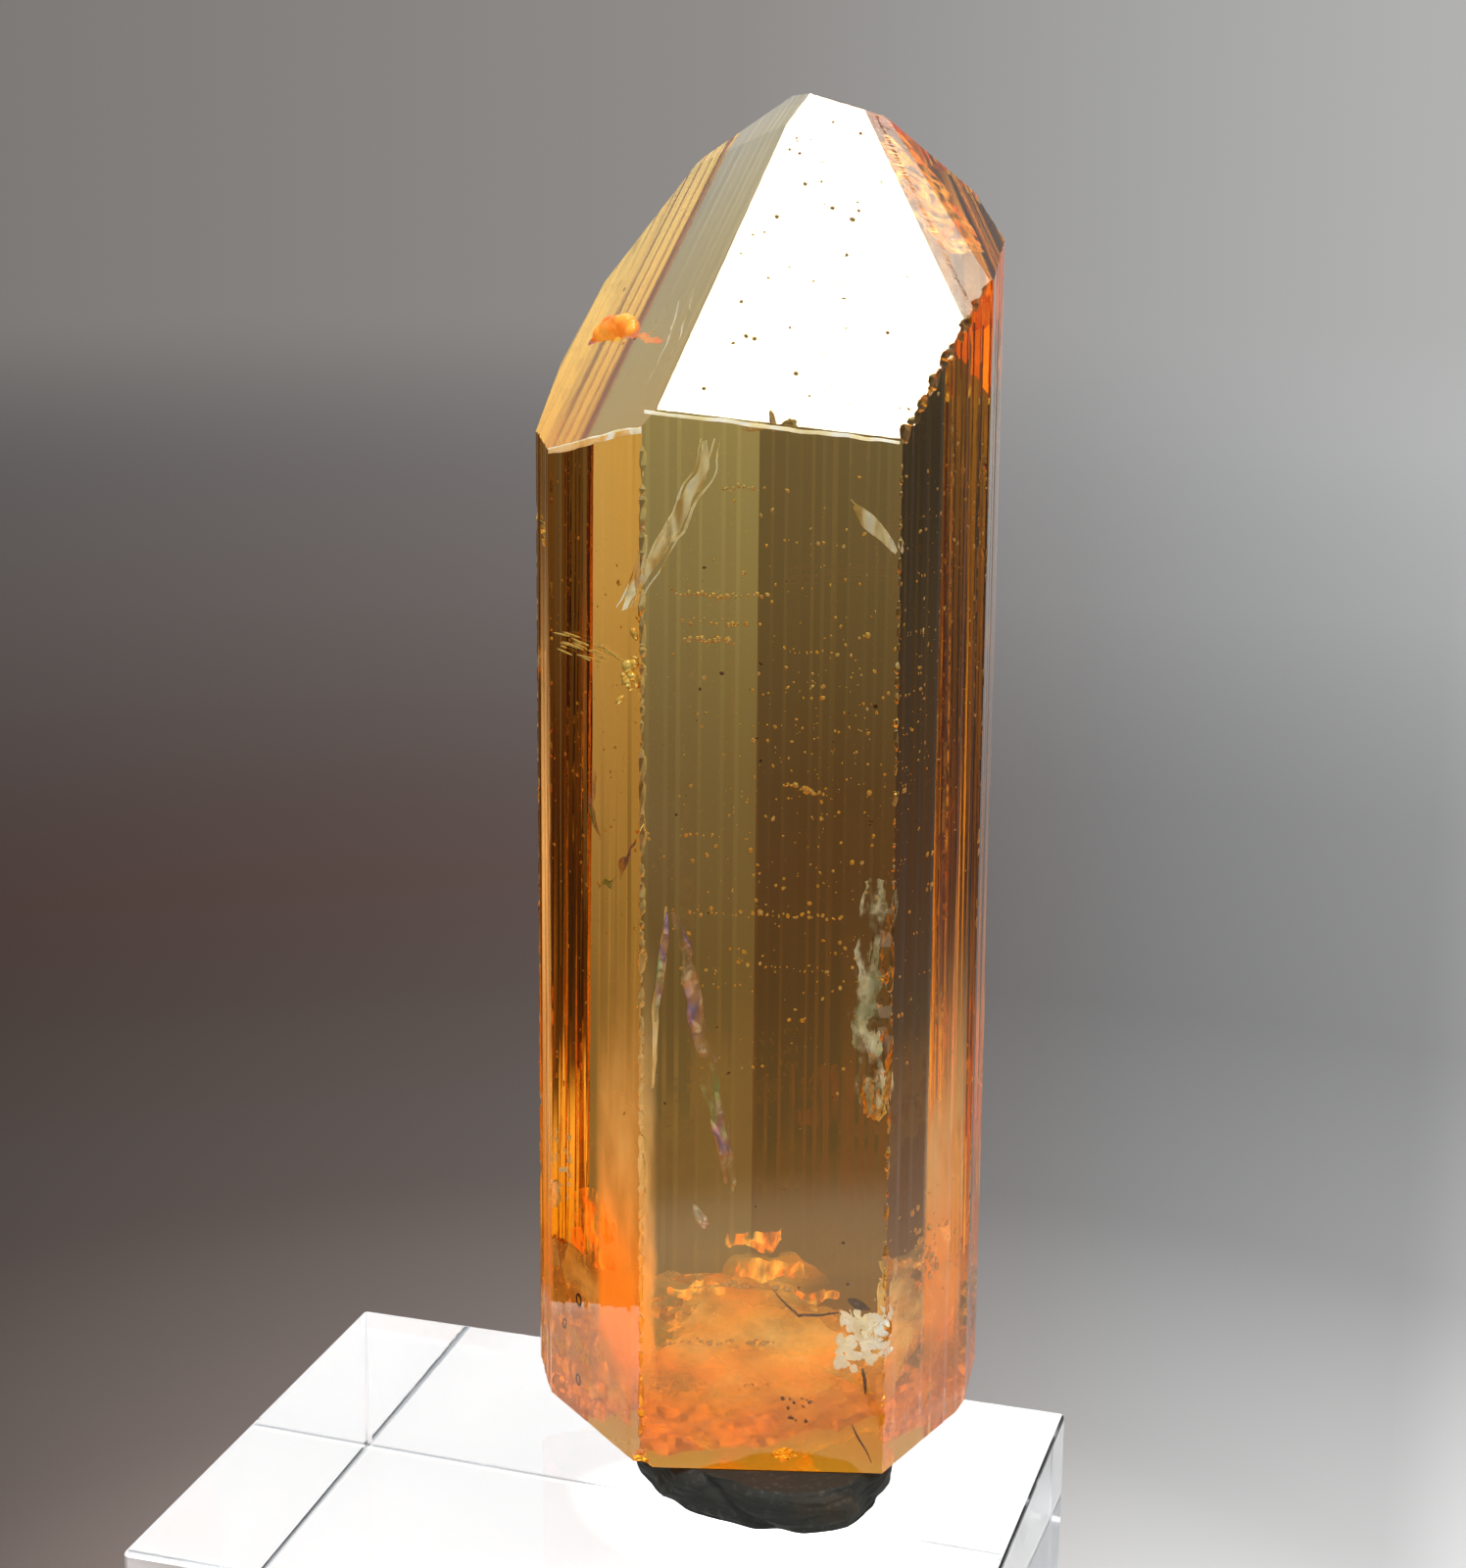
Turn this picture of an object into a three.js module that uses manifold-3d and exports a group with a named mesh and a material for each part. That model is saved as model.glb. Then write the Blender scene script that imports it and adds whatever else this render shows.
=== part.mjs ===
// A topaz crystal that stands upright on a pad of mineral tack on a small clear display block.
// Millimetres, +Z up. The origin is the centre of the underside of the block.

import * as THREE from 'three';
import { mergeVertices } from 'three/addons/utils/BufferGeometryUtils.js';
import Module from 'manifold-3d';

const wasm = await Module();
wasm.setup();

// Display block: its three sizes and the small polished edge all round.
const BLOCK_WIDTH = 22;
const BLOCK_DEPTH = 15.2;
const BLOCK_HEIGHT = 12;
const BLOCK_EDGE = 0.25;

// Pad of mineral tack, pressed flat between the block and the crystal.
const TACK_HEIGHT = 1.1;
const TACK_SEGMENTS = 30;

// The crystal's long axis stands here on the block, and the crystal is turned about it.
const CRYSTAL_X = 2.68;
const CRYSTAL_Y = 5.1;
const CRYSTAL_TURN = 14.7;

// The crystal narrows by this share of its width for each millimetre up, about its middle height.
const CRYSTAL_TAPER = 0.0008;
const CRYSTAL_MIDDLE = 13.9;
const UNCUT_HEIGHT = 40;
const CUTTER_SIZE = 120;

// Prism faces, anticlockwise seen from above: the azimuth in degrees of the outward normal, the
// distance from the axis, and the number and relief of the growth ribs that run up the face.
const PRISM_FACES = [
  { azimuth: -90, distance: 5.53, ribs: 0, relief: 0 },
  { azimuth: -30, distance: 5.62, ribs: 3, relief: 0.03 },
  { azimuth: -9, distance: 5.79, ribs: 4, relief: 0.05 },
  { azimuth: 36, distance: 5.38, ribs: 9, relief: 0.07 },
  { azimuth: 72, distance: 5.15, ribs: 5, relief: 0.03 },
  { azimuth: 106, distance: 5.48, ribs: 5, relief: 0.03 },
  { azimuth: 150, distance: 6.4, ribs: 4, relief: 0.06 },
  { azimuth: 168, distance: 6.34, ribs: 6, relief: 0.07 },
  { azimuth: 196, distance: 6.08, ribs: 4, relief: 0.06 },
  { azimuth: 214, distance: 5.69, ribs: 3, relief: 0.03 },
];

// Faces of the pointed end: azimuth of the normal, tilt of the normal away from +Z, and distance
// from the foot of the axis.
const FRONT_PYRAMID = { azimuth: -84, tilt: 45.6, distance: 23.54 };
const LEFT_PYRAMID = { azimuth: -157.3, tilt: 51.1, distance: 21.44 };
const RIGHT_DOME = { azimuth: -30, tilt: 44, distance: 26.34 };
const POINT_FACES = [
  FRONT_PYRAMID,
  LEFT_PYRAMID,
  RIGHT_DOME,
  { azimuth: 34, tilt: 42.9, distance: 28.01 },
  { azimuth: 112, tilt: 34, distance: 31.2 },
  { azimuth: -161.3, tilt: 43.7, distance: 24.88 },
  { azimuth: 34, tilt: 20.9, distance: 34.05 },
  { azimuth: -78.6, tilt: 44.6, distance: 24.16 },
];

// Faces of the foot: three small bevels where the cleaved base meets the prism, then the slanting
// break that rises to the back.
const FOOT_FACES = [
  { azimuth: -146, tilt: 135, distance: 4.07 },
  { azimuth: 180, tilt: 135, distance: 4.38 },
  { azimuth: -5, tilt: 140, distance: 3.59 },
  { azimuth: 103, tilt: 144, distance: 0.95 },
  { azimuth: 55, tilt: 136, distance: 3.1 },
];

// Chips and nicks: where each lies from the foot of the axis, its half sizes, and its turn in degrees.
const CHIPS = [
  { at: [5.1, -2.05, 31.35], size: [0.32, 0.5, 0.42], turn: 20 },
  { at: [4.75, -2.75, 30.55], size: [0.2, 0.45, 0.3], turn: 65 },
  { at: [4.25, -3.65, 29.7], size: [0.22, 0.5, 0.26], turn: 40 },
  { at: [3.55, -5.1, 28.15], size: [0.28, 0.25, 0.3], turn: 10 },
  { at: [0.16, -5.6, 28.2], size: [0.14, 0.22, 0.42], turn: 15 },
  { at: [0.62, -5.6, 28.15], size: [0.12, 0.2, 0.36], turn: -20 },
  { at: [-0.5, -5.62, 28.05], size: [0.3, 0.2, 0.14], turn: 5 },
  { at: [-6.15, -0.65, 24.5], size: [0.35, 0.45, 0.28], turn: 30 },
  { at: [-3.2, -5.6, 21.7], size: [0.26, 0.2, 0.5], turn: 0 },
  { at: [3.25, -5.62, 13.6], size: [0.72, 0.24, 3.1], turn: 8 },
  { at: [3.42, -5.6, 4.2], size: [0.3, 0.28, 0.8], turn: 35 },
  { at: [-3.35, -5.7, 0.1], size: [0.5, 0.4, 0.4], turn: 15 },
  { at: [0.7, -5.7, 0.5], size: [0.42, 0.28, 0.36], turn: 50 },
  { at: [-5.95, -1.6, 6.1], size: [0.3, 0.4, 0.55], turn: 25 },
  { at: [3.2, 4.7, 9], size: [0.5, 0.35, 1.2], turn: -20 },
  { at: [-4.6, 4.65, 20], size: [0.4, 0.35, 0.9], turn: 30 },
];

// Rows of small nicks that run up an edge of the prism: the face before the edge in the list above,
// the heights where the row starts and stops, and how many nicks of what size.
const NICKED_EDGES = [
  { face: 7, from: 6.5, to: 23.5, count: 15, size: 0.16 },
  { face: 0, from: 1.2, to: 26, count: 16, size: 0.14 },
  { face: 9, from: 2.5, to: 27, count: 11, size: 0.12 },
];

// Etch pits on the two broad faces of the point, and slanting growth steps at the right of one.
const PIT_COUNT = 14;
const PIT_RADIUS = 0.13;
const STEP_COUNT = 11;

// A repeatable value from 0 to 1 for each whole number.
function scatter(index) {
  const value = Math.sin(index * 12.9898 + 4.1414) * 43758.5453;
  return value - Math.floor(value);
}

function radians(degrees) {
  return THREE.MathUtils.degToRad(degrees);
}

// Closed geometry to solid and back, for the joins and cuts.
function solidOf(geometry) {
  const plain = geometry.clone();
  plain.deleteAttribute('normal');
  plain.deleteAttribute('uv');
  const merged = mergeVertices(plain);
  return new wasm.Manifold(new wasm.Mesh({
    numProp: 3,
    vertProperties: new Float32Array(merged.attributes.position.array),
    triVerts: new Uint32Array(merged.index.array),
  }));
}

function geometryOf(solid) {
  const mesh = solid.getMesh();
  const geometry = new THREE.BufferGeometry();
  geometry.setAttribute('position', new THREE.BufferAttribute(mesh.vertProperties, 3));
  geometry.setIndex(new THREE.BufferAttribute(mesh.triVerts, 1));
  geometry.computeVertexNormals();
  return geometry;
}

// Where two neighbouring prism faces meet, seen from above.
function cornerBetween(first, second) {
  const a = radians(first.azimuth);
  const b = radians(second.azimuth);
  const spread = Math.sin(b - a);
  return new THREE.Vector2(
    (first.distance * Math.sin(b) - second.distance * Math.sin(a)) / spread,
    (second.distance * Math.cos(a) - first.distance * Math.cos(b)) / spread,
  );
}

// The share of its middle width that the prism has at a height.
function narrowingAt(height) {
  return 1 - CRYSTAL_TAPER * (height - CRYSTAL_MIDDLE);
}

// The section across the prism, with each face broken into narrow uneven growth ribs.
function prismSection() {
  const outline = [];
  PRISM_FACES.forEach((face, index) => {
    const before = PRISM_FACES[(index + PRISM_FACES.length - 1) % PRISM_FACES.length];
    const after = PRISM_FACES[(index + 1) % PRISM_FACES.length];
    const start = cornerBetween(before, face);
    const end = cornerBetween(face, after);
    const normal = new THREE.Vector2(Math.cos(radians(face.azimuth)), Math.sin(radians(face.azimuth)));
    outline.push(start);
    for (let rib = 1; rib < face.ribs; rib += 1) {
      const share = (rib + 0.5 * (scatter(index * 20 + rib) - 0.5)) / face.ribs;
      const crest = new THREE.Vector2().lerpVectors(start, end, share);
      const hollow = new THREE.Vector2().lerpVectors(start, end, share + 0.18 / face.ribs);
      outline.push(crest, hollow.addScaledVector(normal, -face.relief));
    }
  });
  return outline;
}

function normalOf(face) {
  const level = Math.sin(radians(face.tilt));
  return new THREE.Vector3(
    level * Math.cos(radians(face.azimuth)),
    level * Math.sin(radians(face.azimuth)),
    Math.cos(radians(face.tilt)),
  );
}

// A large box whose near side lies on the face: it cuts away all that is outside the face.
function cutterFor(face) {
  const box = new THREE.BoxGeometry(CUTTER_SIZE, CUTTER_SIZE, CUTTER_SIZE);
  box.translate(0, 0, face.distance + CUTTER_SIZE / 2);
  box.applyQuaternion(new THREE.Quaternion().setFromUnitVectors(new THREE.Vector3(0, 0, 1), normalOf(face)));
  return solidOf(box);
}

// A small lump with flat sides, as the space that a chip leaves.
function chipSolid(at, size, turn) {
  const lump = new THREE.IcosahedronGeometry(1, 0);
  lump.rotateX(radians(turn * 1.7));
  lump.rotateZ(radians(turn));
  lump.scale(...size);
  lump.translate(...at);
  return solidOf(lump);
}

// The height of a sloping face above a place beside the axis.
function heightOn(face, x, y) {
  const normal = normalOf(face);
  return (face.distance - normal.x * x - normal.y * y) / normal.z;
}

function etchPits() {
  const pits = [];
  for (let index = 0; index < PIT_COUNT; index += 1) {
    const face = index % 3 ? FRONT_PYRAMID : LEFT_PYRAMID;
    const x = index % 3 ? 0.6 + 2.4 * scatter(index + 40) : -4.6 + 1.6 * scatter(index + 40);
    const y = -4.4 + 4.6 * scatter(index + 70);
    const pit = new THREE.ConeGeometry(PIT_RADIUS * (0.6 + scatter(index + 90)), 0.14, 4);
    pit.rotateX(-Math.PI / 2);
    pit.applyQuaternion(new THREE.Quaternion().setFromUnitVectors(new THREE.Vector3(0, 0, 1), normalOf(face)));
    pit.translate(x, y, heightOn(face, x, y));
    pits.push(solidOf(pit));
  }
  return pits;
}

// Slanting steps down the strip between the front pyramid face and the right dome.
function growthSteps() {
  const steps = [];
  for (let index = 0; index < STEP_COUNT; index += 1) {
    const share = (index + 0.5) / STEP_COUNT;
    const x = THREE.MathUtils.lerp(2.65, 5.05, share);
    const y = THREE.MathUtils.lerp(1.6, -2.2, share);
    const groove = new THREE.IcosahedronGeometry(1, 0);
    groove.scale(0.38, 0.05, 0.06);
    groove.rotateZ(radians(-35 + 20 * scatter(index + 120)));
    groove.rotateX(radians(FRONT_PYRAMID.tilt));
    groove.translate(x - 0.1, y, heightOn(FRONT_PYRAMID, x - 0.1, y));
    steps.push(solidOf(groove));
  }
  return steps;
}

function nicksAlong(edge, seed) {
  const corner = cornerBetween(PRISM_FACES[edge.face], PRISM_FACES[(edge.face + 1) % PRISM_FACES.length]);
  const nicks = [];
  for (let index = 0; index < edge.count; index += 1) {
    const share = (index + 0.7 * scatter(seed + index)) / edge.count;
    const height = THREE.MathUtils.lerp(edge.from, edge.to, share);
    const place = corner.clone().multiplyScalar(narrowingAt(height));
    const size = edge.size * (0.6 + 0.8 * scatter(seed + index + 300));
    const length = size * (1 + 2.5 * scatter(seed + index + 600));
    nicks.push(chipSolid([place.x, place.y, height], [size, size, length], 360 * scatter(seed + index + 900)));
  }
  return nicks;
}

// The crystal stands on its own foot here: a ribbed prism, cut to its point, bevels and chips.
function crystalGeometry() {
  const prism = new THREE.ExtrudeGeometry(new THREE.Shape(prismSection()), {
    depth: UNCUT_HEIGHT,
    bevelEnabled: false,
  });
  const position = prism.attributes.position;
  for (let index = 0; index < position.count; index += 1) {
    const narrowing = narrowingAt(position.getZ(index));
    position.setX(index, position.getX(index) * narrowing);
    position.setY(index, position.getY(index) * narrowing);
  }
  const cuts = [...POINT_FACES, ...FOOT_FACES].map(cutterFor);
  cuts.push(...CHIPS.map((chip) => chipSolid(chip.at, chip.size, chip.turn)));
  NICKED_EDGES.forEach((edge, index) => cuts.push(...nicksAlong(edge, 1000 * (index + 1))));
  cuts.push(...etchPits(), ...growthSteps());
  return geometryOf(cuts.reduce((solid, cut) => solid.subtract(cut), solidOf(prism)));
}

// One soft lump of tack: a squat turned form with a flat foot and top, pressed to an oval.
function tackLump(x, y, halfWidth, halfDepth) {
  const profile = [
    [0, 0],
    [0.93, 0],
    [1, 0.28],
    [0.95, 0.6],
    [0.82, 0.88],
    [0.66, 1],
    [0, 1],
  ].map(([radius, height]) => new THREE.Vector2(radius, height * TACK_HEIGHT));
  const lump = new THREE.LatheGeometry(profile, TACK_SEGMENTS);
  lump.rotateX(Math.PI / 2);
  lump.scale(halfWidth, halfDepth, 1);
  lump.translate(x, y, 0);
  return solidOf(lump);
}

function tackGeometry() {
  const front = tackLump(1.2, -3.05, 2.45, 4);
  const left = tackLump(-1.25, -2.9, 2.15, 3.2);
  return geometryOf(front.add(left));
}

// The block, with the same narrow polished bevel on every edge.
function blockGeometry() {
  const halfWidth = BLOCK_WIDTH / 2 - BLOCK_EDGE;
  const halfDepth = BLOCK_DEPTH / 2 - BLOCK_EDGE;
  const outline = new THREE.Shape()
    .moveTo(-halfWidth, -halfDepth)
    .lineTo(halfWidth, -halfDepth)
    .lineTo(halfWidth, halfDepth)
    .lineTo(-halfWidth, halfDepth)
    .closePath();
  const block = new THREE.ExtrudeGeometry(outline, {
    depth: BLOCK_HEIGHT - 2 * BLOCK_EDGE,
    bevelThickness: BLOCK_EDGE,
    bevelSize: BLOCK_EDGE,
    bevelSegments: 1,
  });
  block.translate(0, 0, BLOCK_EDGE);
  return block;
}

const topaz = new THREE.MeshStandardMaterial({ color: 0xc8792c, roughness: 0.06, metalness: 0 });
const tack = new THREE.MeshStandardMaterial({ color: 0x35342c, roughness: 0.75, metalness: 0 });
const acrylic = new THREE.MeshStandardMaterial({ color: 0xeef3f5, roughness: 0.05, metalness: 0 });

const block = new THREE.Mesh(blockGeometry(), acrylic);
block.name = 'display_block';

const pad = new THREE.Mesh(tackGeometry(), tack);
pad.name = 'mineral_tack';

const crystal = new THREE.Mesh(crystalGeometry(), topaz);
crystal.name = 'topaz_crystal';
crystal.position.z = TACK_HEIGHT;

// The tack and the crystal stand together on the block.
const specimen = new THREE.Group();
specimen.position.set(CRYSTAL_X, CRYSTAL_Y, BLOCK_HEIGHT);
specimen.rotation.z = radians(CRYSTAL_TURN);
specimen.add(pad, crystal);

const part = new THREE.Group();
part.add(block, specimen);

export default part;
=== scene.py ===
import math
import random

import bmesh
import bpy
from mathutils import Matrix, Vector, noise


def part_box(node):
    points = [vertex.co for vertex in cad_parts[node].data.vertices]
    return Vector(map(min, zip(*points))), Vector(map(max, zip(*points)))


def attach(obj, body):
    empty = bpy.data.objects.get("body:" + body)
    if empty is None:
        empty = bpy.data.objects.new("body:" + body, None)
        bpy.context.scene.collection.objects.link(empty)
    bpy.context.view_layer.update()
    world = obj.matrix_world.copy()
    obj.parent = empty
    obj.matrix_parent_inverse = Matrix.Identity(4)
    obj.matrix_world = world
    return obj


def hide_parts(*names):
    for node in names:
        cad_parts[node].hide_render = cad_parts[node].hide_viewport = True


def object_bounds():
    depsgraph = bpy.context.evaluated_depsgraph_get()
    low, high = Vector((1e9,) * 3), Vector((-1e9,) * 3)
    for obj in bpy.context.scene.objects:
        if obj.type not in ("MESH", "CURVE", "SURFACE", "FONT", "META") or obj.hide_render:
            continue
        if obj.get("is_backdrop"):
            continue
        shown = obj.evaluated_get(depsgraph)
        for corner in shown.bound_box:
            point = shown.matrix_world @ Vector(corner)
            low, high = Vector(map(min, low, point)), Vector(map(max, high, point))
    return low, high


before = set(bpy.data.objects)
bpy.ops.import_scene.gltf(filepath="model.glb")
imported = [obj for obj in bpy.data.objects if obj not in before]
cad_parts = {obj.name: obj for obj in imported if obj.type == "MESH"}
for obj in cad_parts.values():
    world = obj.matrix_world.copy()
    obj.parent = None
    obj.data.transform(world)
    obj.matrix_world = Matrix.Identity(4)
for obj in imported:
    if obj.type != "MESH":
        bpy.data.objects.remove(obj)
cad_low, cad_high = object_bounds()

# The camera: a long lens close to the crystal, a little above it and to its right, looking down
# at fifteen degrees.
MM = 0.001
CAMERA_PLACE = Vector((23.45, -66.10, 50.32)) * MM
CAMERA_HEADING = math.radians(17.06)
CAMERA_PITCH = math.radians(-14.85)
CAMERA_ROLL = math.radians(0.44)
CAMERA_LENS = 64.88

camera_data = bpy.data.cameras.new("photo_camera")
camera_data.lens = CAMERA_LENS
camera_data.sensor_width = 36
camera_data.clip_start = 0.005
camera_data.clip_end = 20
camera = bpy.data.objects.new("photo_camera", camera_data)
bpy.context.scene.collection.objects.link(camera)
camera.matrix_world = (
    Matrix.Translation(CAMERA_PLACE)
    @ Matrix.Rotation(CAMERA_HEADING, 4, "Z")
    @ Matrix.Rotation(math.pi / 2 + CAMERA_PITCH, 4, "X")
    @ Matrix.Rotation(CAMERA_ROLL, 4, "Z")
)
bpy.context.scene.camera = camera


# The floor: a wide matt sheet just under the block. It is pale where the block stands, with a soft
# glow from below, goes through a dark ring, and is darker and browner to the left.
FLOOR_DROP = 0.05 * MM
FLOOR_RADIUS = 500 * MM
FLOOR_FADE = 260 * MM
PAD_RADIUS = 15 * MM
PAD_GLOW = 0.95
BACK_CENTRE = Vector((1.5, 10, 0)) * MM
BACK_RADIUS = 6.5 * MM
BACK_GLOW = 2.5
PALE_CENTRE = Vector((16, -20, 0)) * MM
PALE_RADIUS = 30 * MM
FLOOR_TONE = 0.136
FLOOR_LIMIT = 0.85
FAN_CENTRE = Vector((23.5, -66, 0)) * MM
FAN_HEADING = math.radians(85)
FAN_BLUR = 55 * MM
FAN_MIDDLE = 0.8
PALE_GLOW = 0.35


class Shade:
    """One shader value. Arithmetic on it adds Math nodes, and node() adds any other node."""

    def __init__(self, tree, socket=None):
        self.tree = tree
        self.socket = socket

    def node(self, kind, settings, values, output=0):
        made = self.tree.nodes.new(kind)
        for name, value in settings.items():
            if name == "stops":
                self.set_stops(made.color_ramp, value)
            else:
                setattr(made, name, value)
        for name, value in values.items():
            if isinstance(value, Shade):
                self.tree.links.new(value.socket, made.inputs[name])
            else:
                made.inputs[name].default_value = value
        return Shade(self.tree, made.outputs[output] if made.outputs else None)

    @staticmethod
    def set_stops(ramp, stops):
        while len(ramp.elements) < len(stops):
            ramp.elements.new(1)
        for element, (place, colour) in zip(ramp.elements, stops):
            element.position = place
            element.color = (*colour, 1)

    def math(self, operation, *values, clamp=False):
        settings = {"operation": operation, "use_clamp": clamp}
        return self.node("ShaderNodeMath", settings, dict(enumerate(values)))

    def __add__(self, other):
        return self.math("ADD", self, other)

    def __sub__(self, other):
        return self.math("SUBTRACT", self, other)

    def __mul__(self, other):
        return self.math("MULTIPLY", self, other)

    def __truediv__(self, other):
        return self.math("DIVIDE", self, other)

    def __rsub__(self, other):
        return self.math("SUBTRACT", other, self)

    __radd__ = __add__
    __rmul__ = __mul__

    def between(self, low, high):
        """0 where this is at low, 1 where it is at high, and smooth from one to the other."""
        ranges = {"Value": self, "From Min": low, "From Max": high}
        return self.node("ShaderNodeMapRange", {"interpolation_type": "SMOOTHSTEP"}, ranges)

    def ramp(self, *stops):
        return self.node("ShaderNodeValToRGB", {"stops": stops}, {"Fac": self})

    def mix(self, first, second):
        """The first colour where this is 0, and the second where it is 1."""
        colours = {0: self, 6: first, 7: second}
        return self.node("ShaderNodeMix", {"data_type": "RGBA"}, colours, output=2)

    def axis(self, letter):
        return self.node("ShaderNodeSeparateXYZ", {}, {0: self}, output="XYZ".index(letter))

    def noise(self, scale, detail=2.0, stretch=(1, 1, 1)):
        """Noise of this many features in a metre, on coordinates stretched first."""
        place = self.node("ShaderNodeMapping", {}, {"Vector": self, "Scale": stretch})
        return self.node("ShaderNodeTexNoise", {}, {"Vector": place, "Scale": scale, "Detail": detail})


def new_material(name):
    """An empty material, a Shade to build on, and the Object coordinates."""
    material = bpy.data.materials.new(name)
    material.use_nodes = True
    material.node_tree.nodes.clear()
    shade = Shade(material.node_tree)
    return material, shade, shade.node("ShaderNodeTexCoord", {}, {}, output="Object")


def principled(shade, values, volume=None):
    surface = shade.node("ShaderNodeBsdfPrincipled", {}, values)
    ends = {"Surface": surface}
    if volume:
        ends["Volume"] = volume
    shade.node("ShaderNodeOutputMaterial", {}, ends)


def new_object(shape, name, *materials):
    """A bmesh made an object of that name at the origin."""
    mesh = bpy.data.meshes.new(name)
    shape.to_mesh(mesh)
    shape.free()
    for material in materials:
        mesh.materials.append(material)
    made = bpy.data.objects.new(name, mesh)
    bpy.context.scene.collection.objects.link(made)
    return made


def side_tone(place):
    """How light the surroundings are on each side: the tones fan out like a half-open blind."""
    level = place.node("ShaderNodeVectorMath", {"operation": "MULTIPLY"}, {0: place, 1: (1, 1, 0)})
    ahead = place.node("ShaderNodeVectorMath", {"operation": "NORMALIZE"}, {0: level})
    across = (math.sin(FAN_HEADING), -math.cos(FAN_HEADING), 0)
    share = place.node("ShaderNodeVectorMath", {"operation": "DOT_PRODUCT"}, {0: ahead, 1: across}, output="Value")
    tones = (
        (-1, 0.05), (-0.72, 0.05), (-0.655, 0.28), (-0.6, 0.36), (-0.375, 0.62), (-0.26, 1.0), (-0.13, 1.5),
        (-0.07, 2.5), (0.07, 2.4), (0.13, 1.5), (0.26, 0.9), (0.4, 0.55), (0.6, 0.25), (0.8, 0.25), (1, 0.6),
    )
    stops = [((1 + side) / 2, (tone / 4,) * 3) for side, tone in tones]
    return ((share + 1) * 0.5).ramp(*stops) * 4


def length_of(place):
    return place.node("ShaderNodeVectorMath", {"operation": "LENGTH"}, {0: place}, output="Value")


def tinted(amount, colour):
    """A colour scaled by a shader value."""
    return amount.node("ShaderNodeVectorMath", {"operation": "SCALE"}, {0: colour, "Scale": amount})


floor_material, shade, place = new_material("floor_paper")
radius = length_of(place)
rings = ((0, 5), (16, 4.8), (30, 2.5), (50, 1.35), (78, 1), (120, 1.09), (190, 1.5), (300, 1.8), (500, 2.1))
ring_stops = [(away * MM / FLOOR_RADIUS, (tone / 5,) * 3) for away, tone in rings]
ring_tone = (radius / FLOOR_RADIUS).ramp(*ring_stops) * 5
fan_place = shade.node("ShaderNodeVectorMath", {"operation": "SUBTRACT"}, {0: place, 1: FAN_CENTRE})
fanned = length_of(fan_place).between(FAN_BLUR * 0.3, FAN_BLUR)
tone = side_tone(fan_place) * fanned + (1 - fanned) * FAN_MIDDLE
pale_place = shade.node("ShaderNodeVectorMath", {"operation": "SUBTRACT"}, {0: place, 1: PALE_CENTRE})
pale = length_of(pale_place).between(PALE_RADIUS * 1.15, PALE_RADIUS * 0.85) * FLOOR_LIMIT
browns = (
    (0, (1, 0.80, 0.72)), (60, (1, 0.78, 0.68)), (98, (1, 0.58, 0.47)), (150, (1, 0.78, 0.70)),
    (265, (1, 0.88, 0.84)), (500, (1, 0.94, 0.92)),
)
brown = (radius / FLOOR_RADIUS).ramp(*[(away * MM / FLOOR_RADIUS, colour) for away, colour in browns])
shadow_tint = tone.math("MAXIMUM", tone, pale * 2).between(0.3, 1.2).mix(brown, (1, 1, 0.99, 1))
albedo = shade.math("MAXIMUM", shade.math("MINIMUM", tone * ring_tone * FLOOR_TONE, FLOOR_LIMIT), pale)
glow = radius.between(PAD_RADIUS + 3 * MM, PAD_RADIUS - 2 * MM)
back_place = shade.node("ShaderNodeVectorMath", {"operation": "SUBTRACT"}, {0: place, 1: BACK_CENTRE})
back_glow = length_of(back_place).between(BACK_RADIUS, BACK_RADIUS * 0.6) * BACK_GLOW
glow = shade.math("MAXIMUM", glow * PAD_GLOW, pale * PALE_GLOW) + back_glow
principled(shade, {
    "Base Color": tinted(albedo, shadow_tint),
    "Roughness": 0.9,
    "Specular IOR Level": 0.1,
    "Alpha": radius.between(FLOOR_RADIUS * 0.96, FLOOR_FADE),
    "Emission Color": tinted(glow, (1, 0.99, 0.97)),
    "Emission Strength": 1.0,
})
sheet = bmesh.new()
bmesh.ops.create_circle(sheet, cap_ends=True, segments=96, radius=FLOOR_RADIUS)
bmesh.ops.translate(sheet, verts=sheet.verts, vec=(0, 0, -FLOOR_DROP))
floor = new_object(sheet, "floor", floor_material)
floor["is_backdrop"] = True


# The studio: grey walls that match the floor at its far edge, a small strong softbox nearly
# overhead that the bright face mirrors, and a wide weak one behind for the floor.
KEY_HEADING = math.radians(-22)
KEY_HEIGHT = math.radians(82.4)
KEY_DISTANCE = 0.8
KEY_SIZE = 0.18
KEY_RADIANCE = 28.0
TOP_HEADING = math.radians(110)
TOP_HEIGHT = math.radians(55)
TOP_DISTANCE = 0.9
TOP_SIZE = 0.6
TOP_RADIANCE = 3.0
RIM_HEADING = math.radians(15)
RIM_HEIGHT = math.radians(76.5)
RIM_SIZE = 0.11
RIM_RADIANCE = 5.0
WALL_TONE = 0.36
CEILING = (0.55, 0.56, 0.57, 1)

world = bpy.data.worlds.new("studio")
world.use_nodes = True
world.node_tree.nodes.clear()
sky = Shade(world.node_tree)
direction = sky.node("ShaderNodeTexCoord", {}, {}, output="Generated")
side = side_tone(direction)
wall_tint = side.between(0.3, 1.2).mix((1, 0.93, 0.88, 1), (1, 1, 0.99, 1))
walls = tinted(side.math("POWER", side, 0.55) * WALL_TONE, wall_tint)
rise = direction.axis("Z").between(0.06, 0.3)
background = sky.node("ShaderNodeBackground", {}, {"Color": rise.mix(walls, CEILING), "Strength": 1.0})
sky.node("ShaderNodeOutputWorld", {}, {"Surface": background})
bpy.context.scene.world = world


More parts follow.
